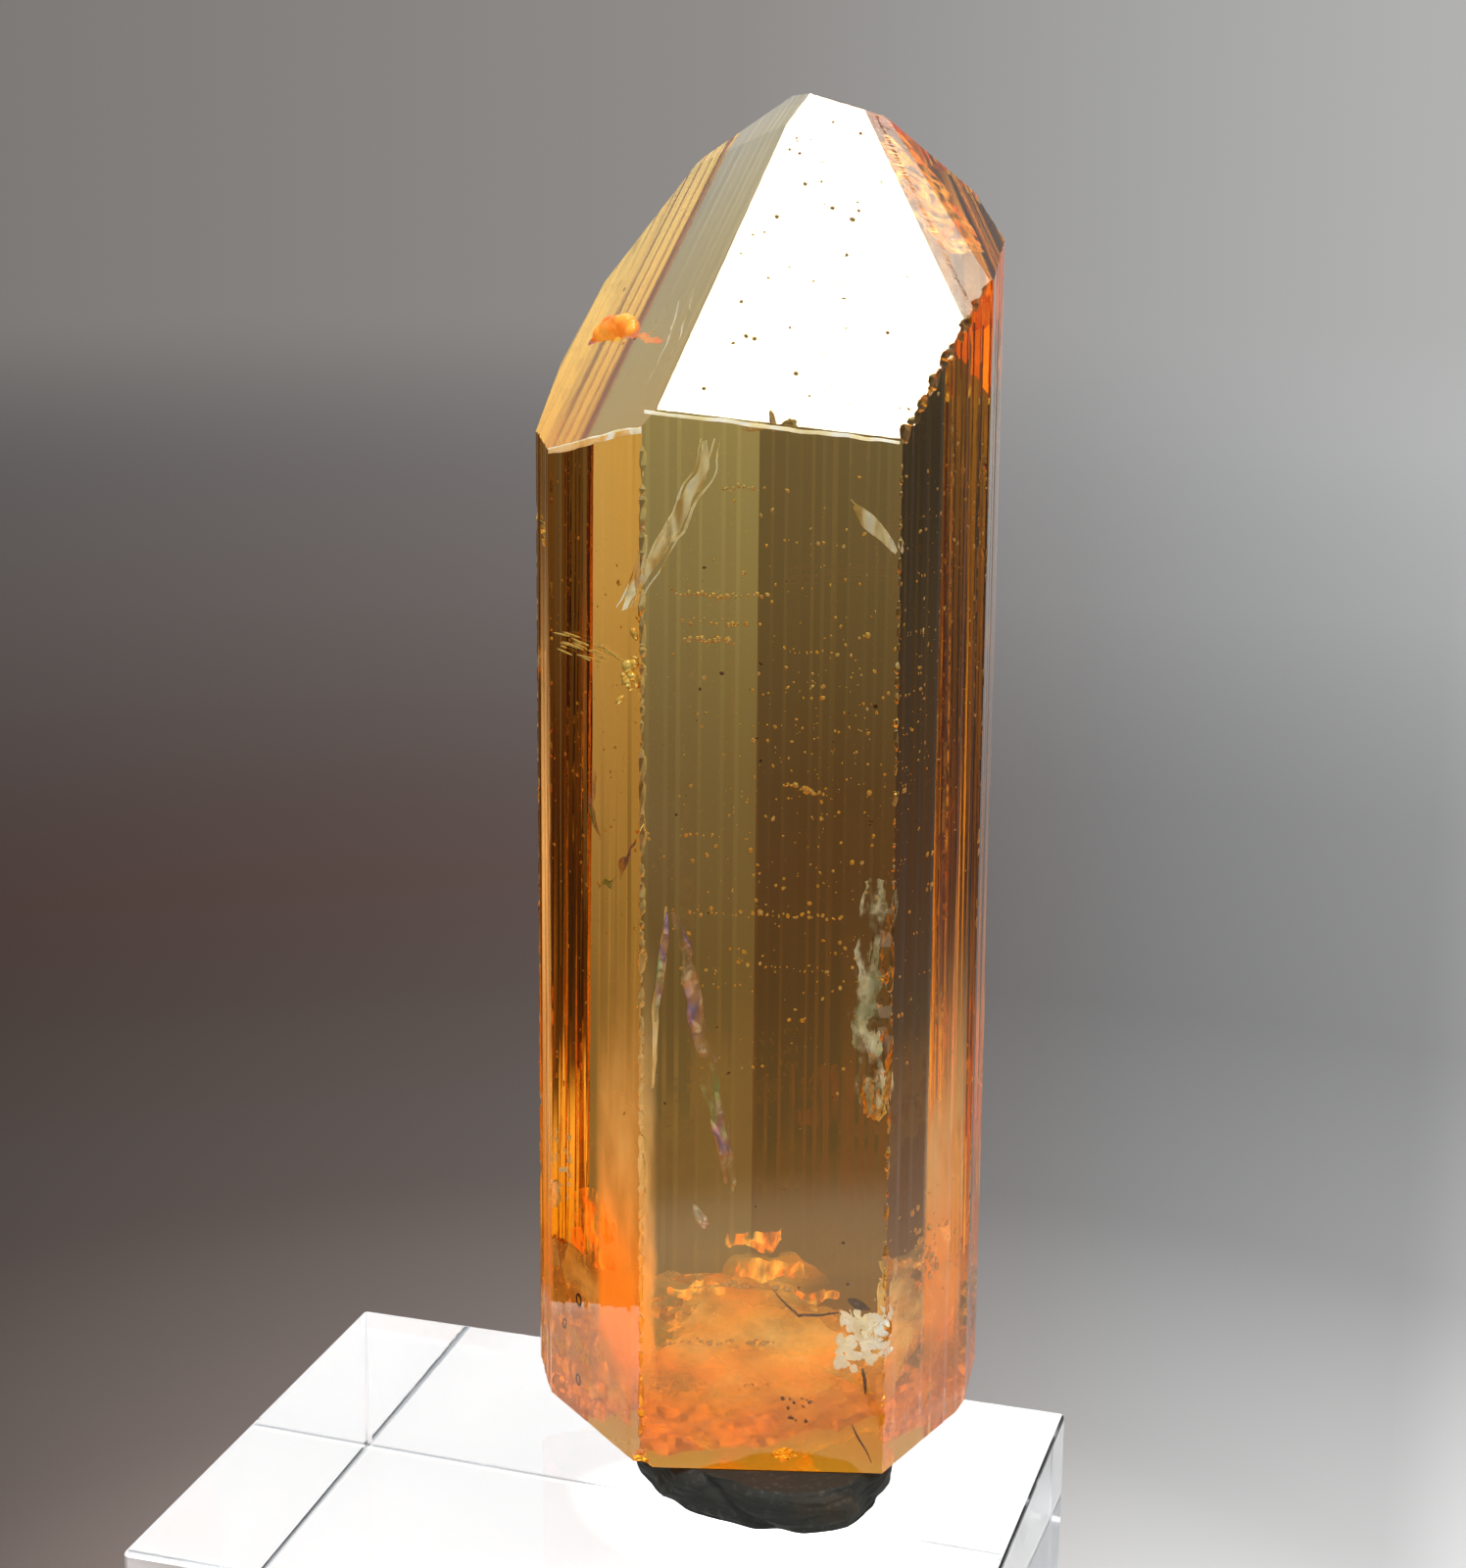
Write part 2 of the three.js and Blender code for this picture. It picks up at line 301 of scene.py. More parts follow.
def softbox(name, heading, height, distance, size, radiance, aim, colour=(1, 1, 1)):
    """A square area light of that radiance, facing a point."""
    data = bpy.data.lights.new(name, "AREA")
    data.shape = "SQUARE"
    data.size = size
    data.energy = radiance * math.pi * size * size
    data.color = colour
    lamp = bpy.data.objects.new(name, data)
    bpy.context.scene.collection.objects.link(lamp)
    level = math.cos(height)
    away = Vector((level * math.cos(heading), level * math.sin(heading), math.sin(height)))
    lamp.matrix_world = Matrix.Translation(aim + distance * away) @ away.to_track_quat("Z", "Y").to_matrix().to_4x4()
    return lamp


tip_place = Vector((0.5, 0, 42)) * MM
softbox("key_softbox", KEY_HEADING, KEY_HEIGHT, KEY_DISTANCE, KEY_SIZE, KEY_RADIANCE, tip_place)
softbox("top_softbox", TOP_HEADING, TOP_HEIGHT, TOP_DISTANCE, TOP_SIZE, TOP_RADIANCE, tip_place)
softbox("rim_softbox", RIM_HEADING, RIM_HEIGHT, KEY_DISTANCE, RIM_SIZE, RIM_RADIANCE, tip_place, (0.86, 0.8, 1))


# The display block: clear cast acrylic, sawn to size and polished, with fine rounded edges and
# faint sanding marks.
BLOCK_EDGE = 0.14 * MM
ACRYLIC_IOR = 1.49

acrylic, shade, place = new_material("clear_acrylic")
haze = place.noise(90, 3, stretch=(1, 0.25, 1)).between(0.45, 0.75)
fine = place.noise(2600, 2, stretch=(1, 0.06, 1))
bump = shade.node("ShaderNodeBump", {}, {"Strength": 0.04, "Distance": 0.02 * MM, "Height": fine})
principled(shade, {
    "Base Color": haze.mix((0.97, 0.985, 1.0, 1), (0.90, 0.93, 0.94, 1)),
    "Roughness": haze * 0.12 + 0.03,
    "IOR": ACRYLIC_IOR,
    "Transmission Weight": 1.0,
    "Normal": bump,
}, volume=shade.node("ShaderNodeVolumeAbsorption", {}, {"Color": (0.7, 0.85, 1.0, 1), "Density": 4.0}))

block_low, block_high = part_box("display_block")
block = bmesh.new()
bmesh.ops.create_cube(block, size=1)
bmesh.ops.scale(block, verts=block.verts, vec=block_high - block_low)
bmesh.ops.translate(block, verts=block.verts, vec=(block_low + block_high) / 2)
bmesh.ops.bevel(
    block, geom=block.edges[:], offset=BLOCK_EDGE, segments=3, profile=0.5, affect="EDGES", material=-1
)
display_block = new_object(block, "acrylic_block", acrylic)
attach(display_block, "root")
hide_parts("display_block")


# The tack: a lump of dark grey-green putty, kneaded and pressed flat between the block and the
# crystal, so that it bulges out in front and shows the folds of the kneading.
CRYSTAL_AXIS = Vector((2.68, 5.10)) * MM
CRYSTAL_TURN = math.radians(14.7)
TACK_CENTRE = Vector((0.15, -3.25))
TACK_GAP = 0.03
TACK_EDGES = (0.05, 0.22)

# The outline of the pressed lump: headings from its middle, and how far it reaches.
TACK_REACH = [
    (-180, 3.58), (-173, 3.58), (-139, 3.4), (-107, 3.32), (-89, 3.64), (-73, 3.92), (-57, 4.1), (-38, 3.78),
    (-20, 3.58), (0, 3.46), (40, 3.5), (90, 3.6), (140, 3.6), (180, 3.58),
]
TACK_FOLDS = [
    (-122, 20, 0.12, 8),
    (-104, -30, 0.16, 6),
    (-62, 26, 0.05, 12),
    (-45, -22, 0.12, 7),
    (-150, 12, 0.14, 9),
    (35, -25, 0.2, 8),
    (100, 20, 0.2, 8),
]

crystal_low, crystal_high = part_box("topaz_crystal")
tack_low, tack_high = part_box("mineral_tack")
TACK_HEIGHT = (tack_high.z - tack_low.z) / MM
SPECIMEN = (
    Matrix.Translation(Vector((*CRYSTAL_AXIS, crystal_low.z)))
    @ Matrix.Rotation(CRYSTAL_TURN, 4, "Z")
    @ Matrix.Scale(MM, 4)
)


def reach_at(heading):
    """How far the lump reaches on a heading in degrees."""
    for (low, near), (high, far) in zip(TACK_REACH, TACK_REACH[1:]):
        if heading <= high:
            share = (heading - low) / (high - low)
            return near + (far - near) * share * share * (3 - 2 * share)
    return TACK_REACH[-1][1]


def on_tack(direction):
    """Where a direction from the middle of the lump comes out on its kneaded skin."""
    heading = math.atan2(direction.y, direction.x)
    level = math.hypot(direction.x, direction.y)
    rim = level ** TACK_EDGES[direction.z > 0]
    reach = reach_at(math.degrees(heading)) * rim
    for fold, lean, depth, width in TACK_FOLDS:
        across = (math.degrees(heading) - fold - lean * direction.z + 180) % 360 - 180
        reach -= depth * math.exp(-((across / width) ** 2)) * rim
    reach *= 1 + 0.022 * noise.fractal(direction * 2.3, 0.8, 2.1, 4)
    upward = max(-1.0, min(1.0, 1.4 * direction.z))
    return Vector((
        TACK_CENTRE.x + reach * math.cos(heading),
        TACK_CENTRE.y + reach * math.sin(heading),
        (TACK_HEIGHT - TACK_GAP) * (upward - 1) / 2 - TACK_GAP,
    ))


putty, shade, place = new_material("putty")
grain = place.noise(5200, 4)
smears = place.noise(700, 3, stretch=(1, 1, 2.2))
bump = shade.node("ShaderNodeBump", {}, {
    "Strength": 0.5,
    "Distance": 0.06 * MM,
    "Height": smears * 0.7 + grain * 0.3,
})
dust = grain.between(0.5, 0.75) * smears.between(0.4, 0.6)
greys = dust.mix((0.030, 0.031, 0.024, 1), (0.085, 0.085, 0.068, 1))
principled(shade, {
    "Base Color": place.noise(330, 2).between(0.5, 0.68).mix(greys, (0.075, 0.045, 0.018, 1)),
    "Roughness": 0.86 - smears * 0.3,
    "Specular IOR Level": 0.4,
    "Normal": bump,
})

lump = bmesh.new()
bmesh.ops.create_icosphere(lump, subdivisions=6, radius=1)
for point in lump.verts:
    point.co = on_tack(point.co.normalized())
bmesh.ops.transform(lump, matrix=SPECIMEN, verts=lump.verts[:])
for face in lump.faces:
    face.smooth = True
pressed_tack = new_object(lump, "pressed_tack", putty)
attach(pressed_tack, "root")
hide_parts("mineral_tack")


# The crystal: orange-brown topaz, a flattened prism with ribbed sides, a pointed end of large
# growth faces, and a cleaved foot with a rough slanting break at the back. Worn edges, chips and
# etch pits are cut out of it.
CRYSTAL_TAPER = 0.0008
CRYSTAL_MIDDLE = 13.9
UNCUT_HEIGHT = 40
TOPAZ_IOR = 1.62
TOPAZ_ABSORBS = (0.95, 0.76, 0.02, 1)
TOPAZ_DENSITY = 160.0
EDGE_WEAR = 0.08

# Each prism face: azimuth of its normal, distance from the axis, growth ribs and their depth.
PRISM_FACES = [
    (-90, 5.53, 5, 0.006),
    (-30, 5.62, 7, 0.015),
    (-9, 5.79, 8, 0.04),
    (36, 5.38, 17, 0.05),
    (72, 5.15, 11, 0.01),
    (106, 5.48, 9, 0.01),
    (150, 6.4, 8, 0.015),
    (168, 6.34, 9, 0.02),
    (196, 6.08, 9, 0.04),
    (214, 5.69, 7, 0.015),
]

# Each plane of the point and of the foot: azimuth of its normal, tilt from upright, and distance
# from the foot of the axis.
FRONT_PYRAMID = (-84, 45.6, 23.54)
LEFT_PYRAMID = (-157.3, 51.1, 21.44)
POINT_FACES = [
    FRONT_PYRAMID,
    LEFT_PYRAMID,
    (-30, 44, 26.34),
    (34, 42.9, 28.01),
    (112, 34, 31.2),
    (-161.3, 43.7, 24.88),
    (34, 20.9, 34.05),
    (-78.6, 44.6, 24.16),
]
FOOT_BEVELS = [
    (-146, 135, 4.07),
    (180, 135, 4.38),
    (-5, 140, 3.59),
]
FOOT_BREAKS = [
    (103, 144, 0.95),
    (55, 136, 3.1),
]

# Each chip: where it lies from the foot of the axis, its half sizes and its turn.
CHIPS = [
    ((0.1, -5.42, 28.12), (0.08, 0.36, 0.22), 14),
    ((0.52, -5.45, 28.05), (0.16, 0.2, 0.2), -36),
    ((-0.4, -5.5, 28.0), (0.32, 0.14, 0.12), 5),
    ((-6.15, -0.65, 24.5), (0.35, 0.45, 0.28), 30),
    ((-3.2, -5.6, 21.7), (0.26, 0.16, 0.4), 0),
    ((3.2, -5.66, 15.0), (0.6, 0.2, 1.6), 1),
    ((3.2, -5.66, 12.6), (0.75, 0.2, 1.7), 2),
    ((3.3, -5.64, 10.9), (0.3, 0.12, 0.8), 1),
    ((3.42, -5.6, 4.2), (0.3, 0.28, 0.8), 35),
    ((-3.35, -5.7, 0.1), (0.5, 0.4, 0.4), 15),
    ((0.7, -5.7, 0.5), (0.36, 0.22, 0.3), 50),
    ((-5.95, -1.6, 6.1), (0.3, 0.4, 0.55), 25),
    ((3.2, 4.7, 9), (0.5, 0.35, 1.2), -20),
    ((-4.6, 4.65, 20), (0.4, 0.35, 0.9), 30),
]

# The crumbled right border of the bright face: how many lumps are broken out of it.
BORDER_CHIPS = 64

# Rows of nicks along an edge: the face before the edge, the heights, their number and their size.
NICKED_EDGES = [
    (7, 4.5, 25, 40, 0.12),
    (0, 1.2, 27.5, 60, 0.075),
    (9, 1, 27.5, 84, 0.115),
    (1, 5, 26, 18, 0.07),
]
# Painted warm light: how strongly each face tints the light through it orange, a stand-in for the warm glow that some
# prism sides and point faces show.
PAINTED_WARM_SIDES = {2: 0.3, 3: 0.2, 8: 0.5, 9: 0.8, 10: 1.0, 102: 0.7, 103: 0.5}
FROST_SIDES = {2: 0.06, 3: 0.1, 8: 0.3, 9: 0.3, 101: 0.24, 102: 0.1, 103: 0.1, 107: 0.3}
PIT_COUNT = 150
STEP_COUNT = 70


def corner_between(first, second):
    """Where two prism faces meet, seen from above."""
    a, b = math.radians(first[0]), math.radians(second[0])
    spread = math.sin(b - a)
    return Vector((
        (first[1] * math.sin(b) - second[1] * math.sin(a)) / spread,
        (second[1] * math.cos(a) - first[1] * math.cos(b)) / spread,
    ))


def prism_section():
    """The corners of the section across the prism, each with the number of the face after it."""
    draw = random.Random(7)
    outline = []
    for index, face in enumerate(PRISM_FACES):
        azimuth, distance, ribs, relief = face
        start = corner_between(PRISM_FACES[index - 1], face)
        end = corner_between(face, PRISM_FACES[(index + 1) % len(PRISM_FACES)])
        inward = -Vector((math.cos(math.radians(azimuth)), math.sin(math.radians(azimuth))))
        outline.append((start, index))
        for rib in range(1, ribs):
            share = (rib + draw.uniform(-0.3, 0.3)) / ribs
            depth = relief * draw.uniform(0.2, 1)
            outline.append((start.lerp(end, share), index))
            outline.append((start.lerp(end, share + 0.25 / ribs) + inward * depth, index))
    return outline


def normal_of(face):
    azimuth, tilt = math.radians(face[0]), math.radians(face[1])
    return Vector((math.sin(tilt) * math.cos(azimuth), math.sin(tilt) * math.sin(azimuth), math.cos(tilt)))


def height_on(face, x, y):
    """The height of a sloping face above a place beside the axis."""
    normal = normal_of(face)
    return (face[2] - normal.x * x - normal.y * y) / normal.z


def cut_along(shape, face):
    """Cuts away what lies outside a plane, closes the cut and returns its face."""
    normal = normal_of(face)
    everything = shape.verts[:] + shape.edges[:] + shape.faces[:]
    cut = bmesh.ops.bisect_plane(
        shape, geom=everything, dist=1e-6, plane_co=normal * face[2], plane_no=normal, clear_outer=True
    )
    rim = [part for part in cut["geom_cut"] if isinstance(part, bmesh.types.BMEdge)]
    return bmesh.ops.holes_fill(shape, edges=rim, sides=0)["faces"]


def add_scar(cutters, at, size, turn, seed, detail=2):
    """Adds a rough lump of the shape that a chip leaves."""
    place = (
        Matrix.Translation(at)
        @ Matrix.Rotation(math.radians(turn), 4, "Z")
        @ Matrix.Rotation(math.radians(turn * 1.7), 4, "X")
        @ Matrix.Diagonal((*size, 1))
    )
    lump = bmesh.ops.create_icosphere(cutters, subdivisions=detail, radius=1)["verts"]
    for point in lump:
        shift = point.co + Vector((seed, 0, 0))
        point.co *= 1 + 0.28 * noise.noise(shift * 1.4) + 0.22 * noise.noise(shift * 4)
    bmesh.ops.transform(cutters, matrix=place, verts=lump)


def added_since(before, parts):
    """The faces or edges that came after the first ones, in their own order."""
    parts.ensure_lookup_table()
    return parts[before:]


def broken_foot(cutters):
    """Adds the space under the rough break at the back of the foot."""
    before = len(cutters.faces)
    ground = bmesh.ops.create_grid(cutters, x_segments=70, y_segments=70, size=7.5)["verts"]
    for point in ground:
        rise = max(height_on(face, point.co.x, point.co.y) for face in FOOT_BREAKS)
        rough = noise.fractal(point.co * 1.3, 0.7, 2.2, 6) * 0.22
        shells = abs(noise.noise(point.co * 0.45 + Vector((9, 4, 0)))) * 0.4
        point.co.z = rise + (rough - shells) * min(1, max(0, rise * 1.2 + 0.3))
    faces = added_since(before, cutters.faces)
    sunk = bmesh.ops.extrude_face_region(cutters, geom=faces, use_keep_orig=True)["geom"]
    for part in sunk:
        if isinstance(part, bmesh.types.BMVert):
            part.co.z = -14


topaz, shade, place = new_material("topaz")
frost = shade.node("ShaderNodeAttribute", {"attribute_name": "frost"}, {}, output="Fac")
warmth = shade.node("ShaderNodeAttribute", {"attribute_name": "warmth"}, {}, output="Fac")
streaks = place.noise(4200, 3, stretch=(1, 1, 0.012))
orange_skin = place.noise(1500, 2)
bump = shade.node("ShaderNodeBump", {}, {
    "Strength": 0.05,
    "Distance": 0.02 * MM,
    "Height": streaks * 0.7 + orange_skin * 0.3 + frost * place.noise(2600, 3, stretch=(1, 1, 0.4)) * 12,
})
foot_height = place.axis("Z") - crystal_low.z
cloud = place.noise(420, 3)
foot_glow = (foot_height + cloud * 1.4 * MM).between(4.6 * MM, 2.2 * MM)
lower_tint = foot_height.between(27 * MM, 16 * MM).mix((1, 1, 1, 1), (1, 0.86, 0.74, 1))
# Painted warm light: some faces tint the light through them orange.
clear_or_warm = warmth.mix(lower_tint, (1, 0.5, 0.2, 1))
principled(shade, {
    "Base Color": foot_glow.mix(clear_or_warm, (1, 0.46, 0.025, 1)),
    "Roughness": frost * 0.45 + foot_glow * 0.04,
    "IOR": TOPAZ_IOR,
    "Specular Tint": (1, 0.86, 0.62, 1),
    "Transmission Weight": 1.0,
    "Normal": bump,
}, volume=shade.node("ShaderNodeVolumeAbsorption", {}, {"Color": TOPAZ_ABSORBS, "Density": TOPAZ_DENSITY}))

prism = bmesh.new()
side_of = prism.faces.layers.int.new("side")
section = prism_section()
base = prism.faces.new([prism.verts.new((corner.x, corner.y, 0)) for corner, _ in section])
grown = bmesh.ops.extrude_face_region(prism, geom=[base])["geom"]
top = [part for part in grown if isinstance(part, bmesh.types.BMVert)]
bmesh.ops.translate(prism, verts=top, vec=(0, 0, UNCUT_HEIGHT))
prism.verts.ensure_lookup_table()
for number, (corner, side) in enumerate(section):
    follower = (number + 1) % len(section)
    for face in prism.verts[number].link_faces:
        if prism.verts[follower] in face.verts and len(face.verts) == 4:
            face[side_of] = side + 1
for corner in prism.verts:
    narrowing = 1 - CRYSTAL_TAPER * (corner.co.z - CRYSTAL_MIDDLE)
    corner.co.x *= narrowing
    corner.co.y *= narrowing
bmesh.ops.recalc_face_normals(prism, faces=prism.faces[:])
for number, face in enumerate(POINT_FACES + FOOT_BEVELS):
    for grown_face in cut_along(prism, face):
        grown_face[side_of] = 100 + number
worn = [
    edge for edge in prism.edges
    if len(edge.link_faces) == 2 and edge.link_faces[0][side_of] != edge.link_faces[1][side_of]
]
bmesh.ops.bevel(
    prism, geom=worn, offset=EDGE_WEAR, segments=2, profile=0.5, affect="EDGES", material=-1,
    clamp_overlap=True,
)

scars = bmesh.new()
draw = random.Random(23)
for number, (at, size, turn) in enumerate(CHIPS):
    add_scar(scars, at, size, turn, number * 3.7, detail=4)
for number in range(BORDER_CHIPS):
    away = 4.5 * (number + draw.random()) / BORDER_CHIPS
    x, y = 3.3 + 0.5 * away + draw.gauss(0, 0.04), -5.53 + 0.866 * away + draw.gauss(0, 0.04)
    at = (x, y, height_on(FRONT_PYRAMID, x, y) - 0.02)
    girth = 0.05 + 0.2 * draw.random() ** 1.7
    size = (girth * draw.uniform(0.6, 1.4), girth * draw.uniform(0.6, 1.8), girth * 0.8)
    add_scar(scars, at, size, draw.uniform(0, 70), number)
for face, low, high, count, girth in NICKED_EDGES:
    corner = corner_between(PRISM_FACES[face], PRISM_FACES[(face + 1) % len(PRISM_FACES)])
    for number in range(count):
        height = low + (high - low) * (number + draw.random()) / count
        narrowing = 1 - CRYSTAL_TAPER * (height - CRYSTAL_MIDDLE)
        width = girth * draw.uniform(0.5, 1.4)
        size = (width, width, width * draw.uniform(1, 4.5))
        add_scar(scars, (*(corner * narrowing), height), size, draw.uniform(-20, 20), number, detail=1)
for number in range(PIT_COUNT):
    on_front = number % 4
    x = draw.uniform(-2.2, 4.4) if on_front else draw.uniform(-4.8, -2.4)
    y = draw.uniform(-4.9, 1.6) if on_front else draw.uniform(-2.6, 2.6)
    width = 0.02 + 0.07 * draw.random() ** 3
    height = height_on(FRONT_PYRAMID if on_front else LEFT_PYRAMID, x, y)
    add_scar(scars, (x, y, height), (width, width, width), draw.uniform(0, 90), number, detail=1)
for number in range(STEP_COUNT):
    share = (number + 0.5 * draw.random()) / STEP_COUNT
    x = 2.3 + 2.75 * share - 0.1
    y = 2.4 - 4.7 * share
    height = height_on(FRONT_PYRAMID, x, y)
    size = (draw.uniform(0.15, 0.42), draw.uniform(0.02, 0.04), 0.03)
    add_scar(scars, (x, y, height), size, draw.uniform(-32, -12), number, detail=1)
broken_foot(scars)
bmesh.ops.recalc_face_normals(scars, faces=scars.faces[:])

for shape in (prism, scars):
    bmesh.ops.transform(shape, matrix=SPECIMEN, verts=shape.verts[:])
scar_surface = bpy.data.materials.new("scar_surface")
crystal = new_object(prism, "crystal", topaz, scar_surface)
tool = new_object(scars, "scars", scar_surface)
cut = crystal.modifiers.new("scars", "BOOLEAN")
cut.object = tool
cut.operation = "DIFFERENCE"
cut.solver = "EXACT"
cut.material_mode = "TRANSFER"
cut.use_self = True
finished = bpy.data.meshes.new_from_object(crystal.evaluated_get(bpy.context.evaluated_depsgraph_get()))
crystal.modifiers.clear()
crystal.data = finished
bpy.data.objects.remove(tool)
stone_frame = SPECIMEN.inverted()
frost_layer = finished.attributes.new("frost", "FLOAT", "FACE")
painted_warmth_layer = finished.attributes.new("warmth", "FLOAT", "FACE")
scarred = finished.materials.find("scar_surface")
side_layer = finished.attributes["side"]
for face in finished.polygons:
    middle = stone_frame @ face.center
    side = side_layer.data[face.index].value
    if face.material_index == scarred:
        low_break = middle.z < 8 and middle.y > -3
        left_ridge = abs(middle.x + 3.13) < 0.5 and middle.y < -5
        frost_layer.data[face.index].value = 1.0 if low_break else 0.8 if left_ridge else 0.25
    else:
        frost_layer.data[face.index].value = FROST_SIDES.get(side, 0)
    painted_warmth_layer.data[face.index].value = PAINTED_WARM_SIDES.get(side, 0)
    face.material_index = 0
finished.materials.pop(index=scarred)
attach(crystal, "root")
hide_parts("topaz_crystal")


# The inclusions: what grew or cracked inside the stone. Gold grains of trapped fluid, some in rows
# across the growth, and a few dark ones. Each piece lies where it shows through the faces.
GOLD_GRAINS = 420
GRAIN_SCALE = 1.45
DARK_GRAINS = 60

# Rows of grains: the ends as seen on the front face, their depth, number and size.
GRAIN_ROWS = [
    ((-1.07, 26.62), (0.05, 26.6), 1.5, 9, 0.035),
    ((-2.3, 23.94), (0.1, 23.9), 2.0, 22, 0.040),
    ((-2.1, 23.3), (-0.4, 23.2), 2.4, 12, 0.035),
    ((-2.1, 22.75), (-0.7, 22.7), 1.2, 12, 0.055),
    ((0.5, 19.05), (1.6, 18.75), 1.8, 11, 0.05),
    ((-2.2, 17.7), (-1.0, 17.6), 2.5, 7, 0.03),
    ((-0.8, 15.55), (2.1, 15.5), 2.2, 22, 0.030),
    ((-1.9, 15.6), (-0.9, 15.6), 1.1, 7, 0.03),
    ((0.1, 14.1), (1.9, 14.0), 2.8, 13, 0.022),
    ((-2.1, 13.6), (-0.4, 13.55), 3.0, 9, 0.025),
    ((0.6, 25.3), (2.1, 25.2), 2.2, 7, 0.03),
    ((0.5, 22.6), (2.0, 22.4), 2.6, 9, 0.03),
    ((-2.46, 3.65), (0.5, 3.68), 0.4, 26, 0.035),
    ((-2.64, 2.4), (0.45, 2.4), 0.4, 20, 0.028),
    ((-0.9, 5.35), (0.9, 5.2), 0.5, 22, 0.05),
]


def behind_front(x, z, depth):
    """A place at that depth behind the front face, where the camera sees it at x and z on the face."""
    return Vector((x - 0.024 * depth, PRISM_FACES[0][1] * -1 + depth, z - 0.17 * depth))


def add_grain(shape, at, size, draw, detail=1):
    """Adds a small uneven grain."""
    stretch = Vector((draw.uniform(0.7, 1.5), draw.uniform(0.7, 1.3), draw.uniform(0.6, 1.3)))
    stretch *= size * GRAIN_SCALE
    turn = Matrix.Rotation(draw.uniform(0, math.pi), 4, "Y")
    place = Matrix.Translation(at) @ turn @ Matrix.Diagonal((*stretch, 1))
    bmesh.ops.create_icosphere(shape, subdivisions=detail, radius=1, matrix=place)


def point_along(points, share):
    """A place on a line through several points."""
    place = min(max(share, 0), 1) * (len(points) - 1)
    index = min(int(place), len(points) - 2)
    return points[index].lerp(points[index + 1], place - index)


def add_blade(shape, points, breadth, across, ripple=0.05, seed=0, rows=(48, 8), thickness=0.02, ends=0.15):
    """Adds a thin wavy sheet along a line, closed all round. ends is the share of its breadth there."""
    before = len(shape.faces)
    grid = bmesh.ops.create_grid(shape, x_segments=rows[0], y_segments=rows[1], size=0.5)["verts"]
    for point in grid:
        share, side = point.co.x + 0.5, point.co.y
        wide = breadth * (ends + (1 - ends) * math.sin(math.pi * (0.06 + 0.88 * share)))
        middle = point_along(points, share)
        drift = middle + across * side * wide
        wave = noise.noise_vector(drift * 1.6 + Vector((seed * 5.3, 0, 0)))
        point.co = drift + wave * ripple * 2 + noise.noise_vector(drift * 7) * ripple * 0.4
    faces = added_since(before, shape.faces)
    skin = bmesh.ops.extrude_face_region(shape, geom=faces, use_keep_orig=True)["geom"]
    back = [part for part in skin if isinstance(part, bmesh.types.BMVert)]
    facing = (points[-1] - points[0]).cross(across).normalized()
    bmesh.ops.translate(shape, verts=back, vec=facing * thickness)


def inclusion(shape, name, material):
    """Makes a piece inside the stone from a bmesh in the stone's own millimetres."""
    bmesh.ops.recalc_face_normals(shape, faces=shape.faces[:])
    bmesh.ops.transform(shape, matrix=SPECIMEN, verts=shape.verts[:])
    for face in shape.faces:
        face.smooth = True
    made = new_object(shape, name, material)
    made.visible_shadow = False
    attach(made, "root")


def grain_material(name, dark, light, roughness):
    material, shade, place = new_material(name)
    mottle = place.noise(9000, 2)
    bump = shade.node("ShaderNodeBump", {}, {"Strength": 0.3, "Distance": 0.01 * MM, "Height": mottle})
    principled(shade, {
        "Base Color": mottle.between(0.35, 0.65).mix((*dark, 1), (*light, 1)),
        "Metallic": 0.35,
        "Roughness": roughness,
        "Normal": bump,
    })
    return material


gold_grain = grain_material("gold_grain", (1.0, 0.66, 0.16), (1.0, 0.94, 0.55), 0.3)
nugget_gold = grain_material("nugget_gold", (1.0, 0.46, 0.03), (1.0, 0.72, 0.16), 0.25)
dark_grain = grain_material("dark_grain", (0.05, 0.02, 0.01), (0.20, 0.08, 0.03), 0.4)

grains = bmesh.new()
draw = random.Random(5)
for (x, z), (far_x, far_z), depth, count, size in GRAIN_ROWS:
    for number in range(count):
        share = (number + draw.uniform(-0.35, 0.35)) / count
        seen_x = x + (far_x - x) * share
        seen_z = z + (far_z - z) * share + draw.gauss(0, 0.04)
        at = behind_front(seen_x, seen_z, depth + draw.uniform(-0.4, 0.4))
        add_grain(grains, at, size * draw.uniform(0.5, 1.4), draw)
for number in range(GOLD_GRAINS):
    x = draw.triangular(-3.6, 3.6, 1.6)
    z = draw.triangular(9, 27.5, 21)
    add_grain(grains, behind_front(x, z, draw.uniform(0.4, 5.5)), 0.012 + 0.035 * draw.random() ** 3, draw)
for number in range(120):
    x = draw.uniform(3.55, 5.4)
    z = draw.triangular(14, 29, 26)
    y = -5.2 + (x - 3.4) * 1.72 + draw.uniform(0.2, 1.2)
    add_grain(grains, Vector((x, y, z)), 0.014 + 0.03 * draw.random() ** 2, draw)
for number in range(110):
    x = draw.uniform(-5.6, -3.4)
    z = draw.triangular(2, 27, 19)
    y = -5.0 - (x + 3.4) * 1.45 + draw.uniform(0.3, 1.0)
    add_grain(grains, Vector((x, y, z)), 0.014 + 0.03 * draw.random() ** 2, draw)
for number in range(90):
    x, z = draw.gauss(4.2, 0.5), draw.gauss(5.6, 0.7)
    y = -5.2 + (x - 3.4) * 1.72 + draw.uniform(0.15, 0.8)
    add_grain(grains, Vector((x, y, z)), 0.02 + 0.07 * draw.random() ** 3, draw)
inclusion(grains, "gold_grains", gold_grain)

